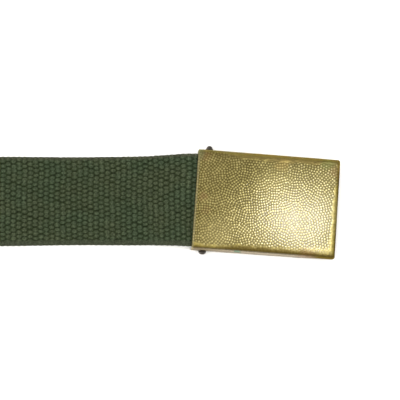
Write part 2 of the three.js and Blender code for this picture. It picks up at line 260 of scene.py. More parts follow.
# Colours of the webbing. Where there are two, faded patches mix them.
WEBBING = {
    "float": [(0.043, 0.053, 0.029), (0.037, 0.052, 0.029)],
    # The gap colours are painted shade, darker between and under the yarns.
    "gap": [(0.0115, 0.0165, 0.0055), (0.0095, 0.0155, 0.0055)],
    # Selvedges: painted shade between the ridges; the worn ridges painted lighter above, darker below.
    "selvedge": (0.026, 0.031, 0.018),
    "lower_selvedge_worn_shaded": (0.035, 0.042, 0.026),
    "upper_selvedge_worn_lit": (0.046, 0.050, 0.031),
    "sheen": (0.7, 0.8, 0.5, 1.0),
}
# Painted light: the strap's colour is raised near the buckle, against the shadow that the buckle casts.
LIGHT_PAINTED_AT_BUCKLE = (0.500, 0.508, 1.0, 1.25)  # from, to in metres, then the shade there

# Metals of the small pieces, each under the name that FITTINGS gives
METALS = {
    "steel": {"low": (0.055, 0.048, 0.044), "high": (0.13, 0.115, 0.105), "roughness": 0.36},
    "brass": {"low": (0.42, 0.33, 0.15), "high": (0.60, 0.49, 0.26), "roughness": 0.34},
}
ROUGHNESS_SPREAD = 0.08

# The small pieces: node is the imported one, and edge is how far its sharp edges are rounded.
FITTINGS = [
    {"node": "hinge_pin", "name": "pin", "metal": "steel", "edge": 0.08, "body": "belt"},
    {"node": "friction_bar", "name": "bar", "metal": "steel", "edge": 0.1, "body": "belt"},
    {"node": "clamp_jaw", "name": "jaw", "metal": "steel", "edge": 0.1, "body": "jaw"},
    {"node": "belt_tip", "name": "tip", "metal": "brass", "edge": 0.12, "body": "belt"},
]
WELD = 0.004
FLAT_ANGLE = 1.0  # degrees, under which faces are joined into one
EDGE_ANGLE = 40.0  # degrees, over which an edge is rounded
EDGE_STEPS = 2


def fraction(value, low, high):
    """How far value is from low to high, eased at both ends."""
    share = np.clip((value - low) / (high - low), 0, 1)
    return share * share * (3 - 2 * share)


def ripple(rng, waves, shortest, longest):
    """A smooth random curve of one coordinate, about -1 to 1, as a sum of seeded waves."""
    lengths = np.geomspace(shortest, longest, waves)
    phases = rng.uniform(0, 2 * math.pi, waves)

    def curve(value):
        total = sum(np.sin(2 * math.pi * value / a + b) for a, b in zip(lengths, phases))
        return total / math.sqrt(waves)

    return curve


def add_object(name, data):
    made = bpy.data.objects.new(name, data)
    bpy.context.scene.collection.objects.link(made)
    return made


def object_from(name, points, faces, matrix=Matrix()):
    """A mesh object from points in millimetres, placed by a matrix in metres."""
    mesh = bpy.data.meshes.new(name)
    turn = np.array(matrix.to_3x3())
    metres = np.asarray(points, float) * MM @ turn.T + np.array(matrix.translation)
    mesh.from_pydata(metres.tolist(), [], faces)
    mesh.update()
    mesh.shade_smooth()
    return add_object(name, mesh)


def face_outwards(made):
    """Turns all faces of a closed mesh outwards."""
    work = bmesh.new()
    work.from_mesh(made.data)
    bmesh.ops.recalc_face_normals(work, faces=work.faces)
    work.to_mesh(made.data)
    work.free()


def store(made, name, values):
    """A value or vector for each vertex, for the material to read."""
    values = np.asarray(values, np.float32)
    kind, field = ("FLOAT", "value") if values.ndim == 1 else ("FLOAT_VECTOR", "vector")
    attribute = made.data.attributes.new(name, kind, "POINT")
    attribute.data.foreach_set(field, values.ravel())


class Nodes:
    """The nodes of a material or the world, with short calls to add the kinds used here."""

    def __init__(self, owner):
        self.owner = owner
        owner.use_nodes = True
        self.tree = owner.node_tree
        self.tree.nodes.clear()

    def add(self, kind, inputs, **settings):
        made = self.tree.nodes.new(kind)
        for key, value in settings.items():
            setattr(made, key, value)
        for key, value in inputs.items():
            if isinstance(value, bpy.types.NodeSocket):
                self.tree.links.new(value, made.inputs[key])
            else:
                made.inputs[key].default_value = value
        return made

    def stored(self, name, output="Fac"):
        return self.add("ShaderNodeAttribute", {}, attribute_name=name).outputs[output]

    def place(self):
        return self.add("ShaderNodeTexCoord", {}).outputs["Object"]

    def axes(self, vector):
        return self.add("ShaderNodeSeparateXYZ", {"Vector": vector}).outputs

    def stretched(self, vector, scale):
        return self.add("ShaderNodeMapping", {"Vector": vector, "Scale": scale}).outputs["Vector"]

    def noise(self, vector, scale, detail=2.0, roughness=0.5):
        inputs = {"Vector": vector, "Scale": scale, "Detail": detail, "Roughness": roughness}
        return self.add("ShaderNodeTexNoise", inputs).outputs["Fac"]

    def ease(self, value, low, high, out_low=0.0, out_high=1.0):
        inputs = {"Value": value, "From Min": low, "From Max": high, "To Min": out_low, "To Max": out_high}
        return self.add("ShaderNodeMapRange", inputs, interpolation_type="SMOOTHSTEP").outputs["Result"]

    def spot(self, place, centre, radius, soft, wobble=0.0):
        """A round patch with a soft edge, moved in and out by wobble."""
        away = self.add("ShaderNodeVectorMath", {0: place, 1: centre}, operation="DISTANCE").outputs["Value"]
        return self.ease(self.plus(away, wobble), radius + soft, radius)

    def math(self, operation, first, second):
        return self.add("ShaderNodeMath", {0: first, 1: second}, operation=operation).outputs[0]

    def plus(self, first, second):
        return self.math("ADD", first, second)

    def times(self, first, second):
        return self.math("MULTIPLY", first, second)

    def mix(self, share, first, second, blend="MIX"):
        first, second = ((*c, 1.0) if isinstance(c, tuple) else c for c in (first, second))
        inputs = {0: share, 6: first, 7: second}
        return self.add("ShaderNodeMix", inputs, data_type="RGBA", blend_type=blend).outputs[2]

    def ramp(self, value, rows):
        """A colour for each value, from rows of a place and a colour."""
        made = self.add("ShaderNodeValToRGB", {"Fac": value})
        elements = made.color_ramp.elements
        while len(elements) < len(rows):
            elements.new(0.5)
        for element, (place, colour) in zip(elements, rows):
            element.position = place
            element.color = (*colour, 1.0)
        return made.outputs["Color"]

    def shaded(self, colour, shade):
        """A colour made lighter or darker by a value about 1."""
        grey = self.add("ShaderNodeCombineColor", {"Red": shade, "Green": shade, "Blue": shade}).outputs[0]
        return self.mix(1.0, colour, grey, "MULTIPLY")

    def bump(self, height, distance, strength=1.0):
        inputs = {"Height": height, "Distance": distance * MM, "Strength": strength}
        return self.add("ShaderNodeBump", inputs).outputs["Normal"]

    def finish(self, **inputs):
        named = {key.replace("_", " "): value for key, value in inputs.items()}
        shader = self.add("ShaderNodeBsdfPrincipled", named)
        self.add("ShaderNodeOutputMaterial", {"Surface": shader.outputs["BSDF"]})
        return self.owner


def make_camera():
    data = bpy.data.cameras.new("camera")
    data.lens = CAMERA_LENS
    data.sensor_width = SENSOR
    data.sensor_fit = "HORIZONTAL"
    data.clip_start = 0.01
    camera = add_object("camera", data)
    azimuth = math.radians(CAMERA_AZIMUTH)
    elevation = math.radians(CAMERA_ELEVATION)
    level = math.cos(elevation)
    back = Vector((math.sin(azimuth) * level, -math.cos(azimuth) * level, math.sin(elevation)))
    camera.location = (Vector(CAMERA_TARGET) + back * CAMERA_DISTANCE) * MM
    camera.rotation_euler = (-back).to_track_quat("-Z", "Y").to_euler()
    bpy.context.scene.camera = camera
    bpy.context.scene.view_settings.view_transform = "Standard"


def make_floor():
    signs = [(-1, -1), (1, -1), (1, 1), (-1, 1)]
    corners = [(FLOOR_HALF * a, FLOOR_HALF * b, 0) for a, b in signs]
    floor = object_from("floor", corners, [(0, 1, 2, 3)])
    nodes = Nodes(bpy.data.materials.new("floor"))
    grain = nodes.noise(nodes.place(), 40.0)
    colour = nodes.mix(grain, FLOOR_TONES["low"], FLOOR_TONES["high"])
    floor.data.materials.append(nodes.finish(Base_Color=colour, Roughness=0.9))


def make_world():
    """A studio's surroundings: dim near the horizon, brighter overhead, and uneven northwards."""
    world = bpy.data.worlds.new("world")
    nodes = Nodes(world)
    axes = nodes.axes(nodes.add("ShaderNodeTexCoord", {}).outputs["Generated"])
    halfway = nodes.plus(nodes.times(axes["Y"], 0.5), 0.5)
    light = nodes.ramp(axes["Z"], [(row["height"], row["light"]) for row in SURROUNDINGS])
    rows = zip(NORTHWARDS["north"], NORTHWARDS["share"])
    shares = [(north, (share / SURROUNDINGS_STRENGTH,) * 3) for north, share in rows]
    colour = nodes.mix(1.0, light, nodes.ramp(halfway, shares), "MULTIPLY")
    inputs = {"Color": colour, "Strength": SURROUNDINGS_STRENGTH}
    background = nodes.add("ShaderNodeBackground", inputs)
    nodes.add("ShaderNodeOutputWorld", {"Surface": background.outputs["Background"]})
    bpy.context.scene.world = world


def make_light(name, kind, way, hidden_from, settings):
    """A light that shines from way, unseen by the camera and by one kind of ray."""
    data = bpy.data.lights.new(name, kind)
    for key, value in settings.items():
        setattr(data, key, value)
    light = add_object(name, data)
    light.rotation_euler = way.to_track_quat("Z", "Y").to_euler()
    light.visible_camera = False
    setattr(light, hidden_from, False)
    return light


def make_lights():
    """The brass mirrors only the lamp and the world. The suns light only the floor and the cloth."""
    way = Vector(LAMP["direction"]).normalized()
    size = LAMP["size"] * MM
    settings = {
        "shape": "DISK",
        "size": size,
        "energy": LAMP["radiance"] * math.pi * math.pi * (size / 2) ** 2,
        "color": LAMP["tint"],
    }
    lamp = make_light("lamp", "AREA", way, "visible_diffuse", settings)
    lamp.location = (Vector(LAMP["aim"]) + way * LAMP["distance"]) * MM
    for row in SUNS:
        settings = {"energy": row["strength"], "angle": math.radians(SUN_SPREAD)}
        make_light(row["name"], "SUN", Vector(row["direction"]), "visible_glossy", settings)


def smoothed(values, reach):
    """A running mean over about reach samples on each side."""
    count = 2 * int(reach) + 1
    kernel = np.ones(count) / count

    def column(samples):
        return np.convolve(np.pad(samples, count // 2, mode="edge"), kernel, "valid")

    return np.apply_along_axis(column, 0, values)


def unit(rows):
    return rows / np.linalg.norm(rows, axis=-1, keepdims=True)


def strap_line():
    """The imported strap's middle line, with its width and thickness, found by casting rays at it."""
    mesh = frame["nodes"]["strap"].data
    tree = BVHTree.FromPolygons([v.co for v in mesh.vertices], [p.vertices[:] for p in mesh.polygons])
    low, high = (np.array(corner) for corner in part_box("strap"))

    def hit(point, way):
        return np.array(tree.ray_cast(Vector(point), Vector(way))[0])

    across_y = np.array((0.0, 1.0, 0.0))
    upwards = np.array((0.0, 0.0, 1.0))
    line = []
    for x in np.arange(low[0] + SAMPLE_STEP * MM / 2, high[0] - SKEWED_END * MM, SAMPLE_STEP * MM):
        top = hit((x, 0.0, 2 * high[2]), -upwards)
        bottom = hit(top - upwards * BELOW_SURFACE * MM, -upwards)
        middle = (top + bottom) / 2
        y = (hit(middle, across_y)[1] + hit(middle, -across_y)[1]) / 2
        line.append((x, y, middle[2]))
    line = np.array(line)
    forward = unit(line[-1] - line[-1 - END_SAMPLES])
    end = hit(line[-1], forward)
    more = np.linalg.norm(end - line[-1])
    steps = np.arange(SAMPLE_STEP * MM, more, SAMPLE_STEP * MM)
    line = np.vstack([line, line[-1] + steps[:, None] * forward])
    line[:, 1:] = smoothed(line[:, 1:], SMOOTHING)
    line = np.vstack([(low[0], *line[0, 1:]), line, end])

    tangent = unit(np.gradient(line, axis=0))
    across = unit(np.cross(upwards, tangent))
    up = np.cross(tangent, across)
    inset = np.clip(line - tangent * LINE_INSET * MM, line.min(0) + TINY, line.max(0) - TINY)

    def gauge(ways):
        """How far the strap reaches along each way and back again, at each point of the line."""
        pairs = zip(inset[1:-1], ways[1:-1])
        found = smoothed(np.array([np.linalg.norm(hit(p, a) - hit(p, -a)) for p, a in pairs]), SMOOTHING)
        return np.concatenate([found[:1], found, found[-1:]]) / MM

    steps = np.linalg.norm(np.diff(line, axis=0), axis=1)
    return {
        "along": np.concatenate([[0], np.cumsum(steps)]) / MM,
        "centre": line / MM,
        "across": across,
        "up": up,
        "width": gauge(across),
        "thickness": gauge(up),
    }


class Weave:
    """The height of the woven faces: lengthwise yarns that pass over and under the cross threads."""

    def __init__(self, length, width):
        rng = np.random.default_rng(SEED)
        picks = int(length / PICK) + 4
        yarns = 2 * WARPS_EACH_SIDE + 1
        self.half = width / 2
        self.lift = rng.uniform(*FLOAT_LIFTS, (yarns, picks))
        self.reach = rng.uniform(*FLOAT_WIDTHS, (yarns, picks))
        self.shift = rng.uniform(-FLOAT_SHIFT, FLOAT_SHIFT, (yarns, picks))
        self.bow_across = ripple(rng, *RIPPLES["bow_across"])
        self.bow_along = ripple(rng, *RIPPLES["bow_along"])
        self.wander = ripple(rng, *RIPPLES["wander"])
        self.unevenness = ripple(rng, *RIPPLES["selvedge"])

    def yarn(self, index, along, across, side):
        """The height of one yarn's back over a point, or a deep floor where the yarn isn't there."""
        odd = (index + side) % 2
        pick = 2 * np.round((along / PICK - odd) / 2).astype(int) + odd
        row = np.clip(index + WARPS_EACH_SIDE, 0, self.lift.shape[0] - 1)
        column = np.clip(pick + 1, 0, self.lift.shape[1] - 1)
        turn = np.cos(math.pi * (along / PICK - odd))
        level = 2 * ((1 + turn) / 2) ** FLOAT_POWER - 1
        level = np.where(level > 0, level * self.lift[row, column], level)
        reach = YARN_REACH * self.reach[row, column] * (1 - YARN_NARROWING + YARN_NARROWING * turn)
        off = (across - index * WARP - self.shift[row, column]) / reach
        back = np.sqrt(np.clip(1 - off * off, 0, 1)) - 1
        height = YARN_DIVE * level + YARN_SWELL * back
        missing = (np.abs(off) > 1) | (np.abs(index) > WARPS_EACH_SIDE)
        return np.where(missing, -GAP_DEPTH, height)

    def face(self, along, across, side):
        """Height and tone of a face. side is 0 for the upper face and 1 for the lower."""
        bow = BOW_ACROSS * self.bow_across(across) + (1 - BOW_ACROSS) * self.bow_along(along)
        bowed = along + COLUMN_BOW * bow
        middle = (LOWER_SELVEDGE - UPPER_SELVEDGE) / 2
        moved = across - middle + YARN_WANDER * self.wander(along + WANDER_SKEW * across)
        nearest = np.round(moved / WARP).astype(int)
        height = np.maximum.reduce([self.yarn(nearest + k, bowed, moved, side) for k in (-1, 0, 1)])
        wave = np.cos(2 * math.pi * bowed / PICK) + SELVEDGE_UNEVENNESS * self.unevenness(bowed)
        low_edge = -self.half + LOWER_SELVEDGE
        high_edge = self.half - UPPER_SELVEDGE
        inwards, outwards = SELVEDGE_FADE
        selvedge = np.maximum(
            fraction(-across, -low_edge - inwards, -low_edge + outwards),
            fraction(across, high_edge - inwards, high_edge + outwards),
        )
        # tone: 0 deep between the yarns, 1 on their backs; the material paints shade where it is low.
        tone = np.clip((height + YARN_DIVE) / (2 * YARN_DIVE), 0, 1)
        tone = tone * (1 - selvedge) + (SELVEDGE_TONE["mean"] + SELVEDGE_TONE["wave"] * wave) * selvedge
        height = height * (1 - selvedge) + (SELVEDGE_HEIGHT + SELVEDGE_RIDGE * wave) * selvedge
        return height, tone, selvedge


def strap_piece(name, line, weave, start, end, pick_steps, warp_steps):
    """A closed stretch of webbing, woven on both faces, from one place along the strap to another."""
    rows = max(2, int(round((end - start) / PICK * pick_steps)))
    along = np.linspace(start, end, rows + 1)[:, None]
    middle, across, up = (
        np.stack([np.interp(along[:, 0], line["along"], line[key][:, i]) for i in range(3)], axis=1)
        for key in ("centre", "across", "up")
    )
    width = np.interp(along, line["along"], line["width"])
    edge = np.interp(along, line["along"], line["thickness"]) / 2
    flat_half = weave.half - ROUND_EDGE
    columns = int(round(flat_half / WARP * warp_steps))
    flat = np.linspace(-flat_half, flat_half, 2 * columns + 1)
    turns = np.linspace(math.pi / 2, -math.pi / 2, 2 * warp_steps + 3)[1:-1]

    # Round the section: the upper face, one edge, the lower face, the other edge.
    parts = [
        {"flat": flat, "turn": np.full(flat.size, math.pi / 2), "side": 0},
        {"flat": np.full(turns.size, flat_half), "turn": turns, "side": None},
        {"flat": flat[::-1], "turn": np.full(flat.size, -math.pi / 2), "side": 1},
        {"flat": np.full(turns.size, -flat_half), "turn": math.pi - turns[::-1], "side": None},
    ]
    spots, tones, borders = [], [], []
    for part in parts:
        lateral = part["flat"][None, :] + 0 * along
        turn = part["turn"][None, :]
        if part["side"] is None:
            lateral = lateral + np.cos(turn) * ROUND_EDGE
        height, tone, border = weave.face(along, lateral, part["side"] or 0)
        out = edge * (1 + height - YARN_DIVE)
        sideways = part["flat"][None, :] / flat_half * (width / 2 - edge) + out * np.cos(turn)
        upwards = out * np.sin(turn)
        aside = across[:, None, :] * sideways[..., None]
        above = up[:, None, :] * upwards[..., None]
        spots.append(middle[:, None, :] + aside + above)
        tones.append(tone)
        borders.append(border)
    spots, tones, borders = (np.concatenate(found, axis=1) for found in (spots, tones, borders))
    rng = np.random.default_rng(SEED + int(start))
    spots = spots + rng.uniform(-FUZZ, FUZZ, spots.shape)

    around = spots.shape[1]
    ids = np.arange((rows + 1) * around).reshape(rows + 1, around)
    here, there = ids[:-1], ids[1:]
    quads = np.stack(
        [here, there, np.roll(there, -1, axis=1), np.roll(here, -1, axis=1)], axis=-1
    ).reshape(-1, 4)
    count = flat.size
    upper = np.arange(count)
    lower = around - turns.size - 1 - upper
    caps = []
    for ring, flip in ((ids[0], False), (ids[-1], True)):
        strip = [(ring[a], ring[a + 1], ring[b - 1], ring[b]) for a, b in zip(upper[:-1], lower[:-1])]
        sides = [
            tuple(ring[count - 1 : count + turns.size + 1]),
            tuple(ring[np.arange(around - turns.size - 1, around + 1) % around]),
        ]
        for face in [*strip, *sides]:
            caps.append(tuple(int(i) for i in (face[::-1] if flip else face)))
    made = object_from(name, spots.reshape(-1, 3), quads.tolist() + caps)
    face_outwards(made)
    store(made, "tone", tones.ravel())
    store(made, "border", borders.ravel())
    lay_out(made, rows, around, end - start, width.mean())
    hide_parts("strap")
    return made


def lay_out(made, rows, around, length, width):
    """The bake's map: the section is unrolled, and a long stretch is cut into strips side by side."""
    strips = max(1, int(round(math.sqrt(length / (2 * width)))))
    strip_rows = math.ceil(rows / strips)
    margin = 0.01
    corners = np.array([(0, 0), (1, 0), (1, 1), (0, 1)])
    index = np.arange(rows * around)
    row, column = index // around, index % around
    strip = row // strip_rows
    along = (row - strip * strip_rows)[:, None] + corners[:, 0]
    across = column[:, None] + corners[:, 1]
    u = margin + (1 - 3 * margin) * along / strip_rows
    v = (strip[:, None] + margin + (1 - 2 * margin) * across / around) / strips
    mesh = made.data
    layer = mesh.uv_layers.new(name="OFBake")
    values = np.zeros((len(mesh.loops), 2))
    starts = np.array([p.loop_start for p in mesh.polygons[: rows * around]])
    # face_outwards may turn a face round, so each corner is found again by its vertex.
    vertices = np.zeros(len(mesh.loops), int)
    mesh.loops.foreach_get("vertex_index", vertices)
    next_column = (column + 1) % around
    quads = np.stack(
        [index, index + around, (row + 1) * around + next_column, row * around + next_column], axis=1
    )
    for k in range(4):
        loop = starts + k
        match = np.argmax(quads == vertices[loop][:, None], axis=1)
        for axis, places in enumerate((u, v)):
            values[loop, axis] = np.take_along_axis(places, match[:, None], 1)[:, 0]
    caps = np.arange(starts[-1] + 4, len(mesh.loops))
    ring = vertices[caps] % around
    values[caps, 0] = 1 - margin * (0.4 + 0.5 * (ring < around / 2))
    values[caps, 1] = margin + (1 - 2 * margin) * np.abs(ring / around * 2 - 1)
    layer.data.foreach_set("uv", values.ravel())


def webbing_material():
    """Faded olive cotton. Where the stored tone is low between yarns, shade is painted; border is 1 on the
    selvedges.
    """
    nodes = Nodes(bpy.data.materials.new("webbing"))
    place = nodes.place()
    axes = nodes.axes(place)
    tone = nodes.stored("tone")
    border = nodes.stored("border")
    patch = nodes.ease(nodes.noise(place, 90.0, 3.0), 0.3, 0.7)
    olive = nodes.mix(patch, *WEBBING["float"])
    # Painted shade between and under the yarns
    gap_shade = nodes.mix(patch, *WEBBING["gap"])
    colour = nodes.mix(nodes.ease(tone, 0.1, 0.9), gap_shade, olive)
    # The worn selvedge colours, painted lighter on the strap's upper side and darker on its lower side.
    upper_side = nodes.ease(axes["Y"], -0.01, 0.01)
    worn = nodes.mix(upper_side, WEBBING["lower_selvedge_worn_shaded"], WEBBING["upper_selvedge_worn_lit"])
    # Between the selvedge's ridges, where the tone is low, its darker colour is painted shade.
    selvedge = nodes.mix(nodes.ease(tone, 0.3, 0.8), WEBBING["selvedge"], worn)
    colour = nodes.mix(border, colour, selvedge)
    # Flecks of fibre tone at random; the light flecks are also painted highlights on the yarns.
    speckle = nodes.ease(nodes.noise(place, 1700.0, 2.0, 0.6), 0.35, 0.68, 0.68, 1.42)
    # Painted light near the buckle, against the buckle's shadow
    shade = nodes.times(speckle, nodes.ease(axes["X"], *LIGHT_PAINTED_AT_BUCKLE))
    twist = nodes.noise(nodes.stretched(place, (1.0, 2.4, 1.0)), 2200.0, 3.0, 0.6)
    return nodes.finish(
        Base_Color=nodes.shaded(colour, shade),
        Roughness=0.92,
        Specular_IOR_Level=0.12,
        Sheen_Weight=0.05,
        Sheen_Roughness=0.5,
        Sheen_Tint=WEBBING["sheen"],
        Normal=nodes.bump(twist, 0.25),
    )


def make_strap():
    line = strap_line()
    length = line["along"][-1]
    weave = Weave(length, float(np.median(line["width"])))
    fine_start = PICK * (math.floor((length - STRAP_FINE_LENGTH) / PICK) + 0.5)
    webbing = webbing_material()
    cuts = np.linspace(0, fine_start, COARSE_PIECES + 1)
    cuts[1:] = PICK * (np.floor(cuts[1:] / PICK) + 0.5)
    pieces = [
        strap_piece(f"strap_{number}", line, weave, start, end, **COARSE)
        for number, (start, end) in enumerate(zip(cuts[:-1], cuts[1:]), 1)
    ]
    pieces.append(strap_piece("strap_at_buckle", line, weave, cuts[-1], length, **FINE))
    for piece in pieces:
        piece.data.materials.append(webbing)
        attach(piece, "belt")


def buckle_matrix():
    """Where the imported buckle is: its yaw from the hinge's axis, its pitch from the pin and the bar."""
    hinge = frame["record"]["behaviour"]["joints"][0]
    across = Vector(hinge["axis"]).normalized()
    level = across.cross(Vector((0, 0, 1)))
    pin = Vector(hinge["pos_m"])
    bar = sum(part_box("friction_bar"), Vector()) / 2
    way = bar - pin
    seen = math.atan2(way.z, way.dot(level))
    drawn = math.atan2(PIN_DEPTH - BAR_DEPTH, BAR_PLACE - PIN_PLACE)
    pitch = drawn - seen
    along = level * math.cos(pitch) - Vector((0, 0, 1)) * math.sin(pitch)
    up = level * math.sin(pitch) + Vector((0, 0, 1)) * math.cos(pitch)
    origin = pin - along * PIN_PLACE * MM - up * (FLANGE_DEPTH - PIN_DEPTH) * MM
    placed = Matrix((along, across, up)).transposed().to_4x4()
    placed.translation = origin
    return placed


def settled_pebbles():
    """Where the pebbles lie: seeded points that push each other apart until they are packed evenly,
    in patches of straight rows with crooked seams between them."""
    rng = np.random.default_rng(SEED)
    size = np.array((BOX_LENGTH, BOX_WIDTH)) + 2 * PEBBLE_MARGIN
    count = int(size.prod() / (PEBBLE_PITCH**2 * math.sqrt(3) / 2))
    points = rng.uniform(0, 1, (count, 2)) * size
    for _ in range(SETTLING_ROUNDS):
        away = points[:, None, :] - points[None, :, :]
        far = (away**2).sum(-1)
        near = np.argpartition(far, NEIGHBOURS, axis=1)[:, : NEIGHBOURS + 1]
        for _ in range(STEPS_A_ROUND):
            gap = points[:, None, :] - points[near]
            distance = np.linalg.norm(gap, axis=2) + TINY
            push = np.clip(PUSH_REACH - distance / PEBBLE_PITCH, 0, None) * (distance > 2 * TINY)
            moves = (gap / distance[..., None] * push[..., None]).sum(1)
            points = points + PUSH_SHARE * PEBBLE_PITCH * moves
            points = np.clip(points, 0, size)
    points[:, 0] -= PEBBLE_MARGIN
    points[:, 1] -= size[1] / 2
    return points, rng.uniform(*PEBBLE_SIZES, count), rng.uniform(*PEBBLE_LIFTS, count)


def flange_edge(u):
    """The height of a flange's lower edge, with the round ear about the bar."""
    along, deep = (np.array(FLANGE_EDGE[key]) for key in ("along", "deep"))
    edge = np.interp(u, along * BOX_LENGTH, FLANGE_DEPTH * (1 - deep))
    off = np.clip(np.abs(u - BAR_PLACE) / EAR_RADIUS, 0, 1)
    ear = FLANGE_DEPTH - BAR_DEPTH - EAR_RADIUS * np.sqrt(1 - off * off)
    return np.where(off < 1, np.minimum(edge, ear), edge)


class Shell:
    """The box's sheet: an outer and an inner skin, joined round their rims and through the holes."""

    def __init__(self):
        self.points = []
        self.faces = []

    def add(self, points):
        first = len(self.points)
        self.points.extend(map(tuple, np.asarray(points, float).reshape(-1, 3)))
        return np.arange(first, len(self.points))

    def strip(self, first, second):
        """Faces between two rows of equally many points."""
        for a, b in zip(range(len(first) - 1), range(1, len(first))):
            self.faces.append((first[a], first[b], second[b], second[a]))

    def zip_rows(self, first, first_at, second, second_at):
        """Triangles between two rows of points, each with its place along the row from 0 up."""
        a = b = 0
        while a < len(first) - 1 or b < len(second) - 1:
            ahead_a = first_at[a + 1] if a < len(first) - 1 else math.inf
            ahead_b = second_at[b + 1] if b < len(second) - 1 else math.inf
            if ahead_a <= ahead_b:
                self.faces.append((first[a], first[a + 1], second[b]))
                a += 1
            else:
                self.faces.append((first[a], second[b + 1], second[b]))
                b += 1

    def panel(self, outline, holes):
        """A flat flange inside an outline of points that are there already, less round holes."""
        corners = [*outline, *(i for hole in holes for i in hole["ring"])]
        flat = [Vector((self.points[i][0], self.points[i][2])) for i in corners]
        edges, first = [], 0
        for ring in (outline, *(hole["ring"] for hole in holes)):
            edges += [(first + i, first + (i + 1) % len(ring)) for i in range(len(ring))]
            first += len(ring)
        spots, _, triangles, origins, _, _ = delaunay_2d_cdt(flat, edges, [], 1, 1e-5)
        for triangle in triangles:
            middle = sum((spots[i] for i in triangle), Vector((0, 0))) / 3
            if any((middle - hole["middle"]).length < 0.98 * hole["radius"] for hole in holes):
                continue
            self.faces.append(tuple(corners[origins[i][0]] for i in triangle))


def skin(shell, inside, step, pebbles=None):
    """One skin of the box. Returns its rim, as four rows of points: the arch at the open end,
    one flange's edge, the lip, and the other flange's edge."""
    sheet = SHEET if inside else 0.0
    half = BOX_WIDTH / 2 - sheet
    reach = SHOULDER_REACH - sheet
    drop = SHOULDER_DROP - sheet
    corner = CORNER - sheet
    top = FLANGE_DEPTH - sheet
    flat_half = half - reach
    flat_end = BOX_LENGTH - SHOULDER_REACH
    bend_steps = INNER_SHOULDER_STEPS if inside else SHOULDER_STEPS
    angles = np.linspace(0, math.pi / 2, bend_steps + 1)[1:]
    fall = np.unique(np.round(np.append(reach * np.sin(angles), reach - corner), 6))
    straight_u = np.linspace(RIM, flat_end, int(flat_end / step) + 1)
    straight_v = np.linspace(-flat_half, flat_half, int(2 * flat_half / step) + 1)
    grid_u = np.append(straight_u, flat_end + fall)
    grid_v = np.concatenate([-flat_half - fall[::-1], straight_v, flat_half + fall])
    u, v = np.meshgrid(grid_u, grid_v, indexing="ij")

    # Past the flat part, rings run round the corner: square at first, rounder further out.
    over_u = np.clip(u - flat_end, 0, None)
    over_v = np.clip(np.abs(v) - flat_half, 0, None)
    ring = np.maximum(over_u, over_v)
    round_off = ring * corner / reach
    lesser = np.minimum(over_u, over_v)
    angle = np.clip((lesser - (ring - round_off)) / (round_off + TINY), 0, 1) * math.pi / 4
    bent = lesser > ring - round_off + TINY
    side = np.where(bent, ring - round_off + round_off * np.cos(angle), ring)
    other = np.where(bent, ring - round_off + round_off * np.sin(angle), lesser)
    u = np.where(over_u > 0, flat_end + np.where(over_u >= over_v, side, other), u)
    v = np.sign(v) * np.where(over_v > 0, flat_half + np.where(over_u >= over_v, other, side), np.abs(v))
    w = top - drop * (1 - np.sqrt(np.clip(1 - (ring / reach) ** 2, 0, 1)))
    bulge = (1 - np.clip(v / flat_half, -1, 1) ** 2) * (1 - ((u / flat_end) * 2 - 1) ** 2)
    w = w + CROWN * np.clip(bulge, 0, None)
    if pebbles is not None:
        w = w + pebbles(u, v)
    ids = shell.add(np.stack([u, v, w], axis=-1)).reshape(u.shape)
    for a, b in zip(ids[:-1], ids[1:]):
        shell.strip(a, b)

    # The lip's wall, from where the flanges stop being flat
    last = int(np.argmin(np.abs(grid_u - (flat_end + reach - corner))))
    lip_top = np.concatenate([ids[last:, 0], ids[-1, 1:-1], ids[last:, -1][::-1]])
    upper = np.array([shell.points[i] for i in lip_top])
    lower = upper.copy()
    lower[:, 2] = flange_edge(upper[:, 0]) + RIM
    middle = shell.add((upper + lower) / 2)
    lip_edge = shell.add(lower)
    shell.strip(lip_top, middle)
    shell.strip(middle, lip_edge)

    # The two flat flanges
    end_u = grid_u[last]
    edge_u = np.linspace(RIM, end_u, int((end_u - RIM) / EDGE_STEP) + 1)
    edge_w = flange_edge(edge_u) + RIM
    rims = {}
    holes = {}
    for sign, end in ((-1, 0), (1, -1)):
        face_row = ids[: last + 1, end]
        flange_v = np.full(edge_u.size - 1, sign * half)
        edge_new = shell.add(np.stack([edge_u[:-1], flange_v, edge_w[:-1]], axis=1))
        edge = np.append(edge_new, lip_edge[end])
        front_w = np.linspace(edge_w[0], top - drop, FRONT_STEPS)[1:-1]
        front = shell.add([(RIM, sign * half, z) for z in front_w])
        circles = []
        for place, depth, radius in ((PIN_PLACE, PIN_DEPTH, PIN_HOLE), (BAR_PLACE, BAR_DEPTH, BAR_HOLE)):
            turn = np.linspace(0, 2 * math.pi, HOLE_POINTS, endpoint=False)
            height = FLANGE_DEPTH - depth
            ring_u = place + radius * np.cos(turn)
            ring_w = height + radius * np.sin(turn)
            circle = shell.add(np.stack([ring_u, np.full(HOLE_POINTS, sign * half), ring_w], axis=1))
            middle_of_hole = Vector((place, height))
            circles.append({"ring": circle.tolist(), "middle": middle_of_hole, "radius": radius})
        outline = [*face_row, middle[end], *edge[::-1], *front]
        shell.panel([int(i) for i in outline], circles)
        rims[sign] = (front, edge)
        holes[sign] = circles
    arch = np.concatenate([[rims[-1][1][0]], rims[-1][0], ids[0], rims[1][0][::-1], [rims[1][1][0]]])
    return [arch, rims[1][1], lip_edge[::-1], rims[-1][1][::-1]], holes


def chain_places(points):
    """The place of each point along a row, from 0 to 1."""
    steps = np.linalg.norm(np.diff(points, axis=0), axis=1)
    return np.concatenate([[0], np.cumsum(steps)]) / steps.sum()


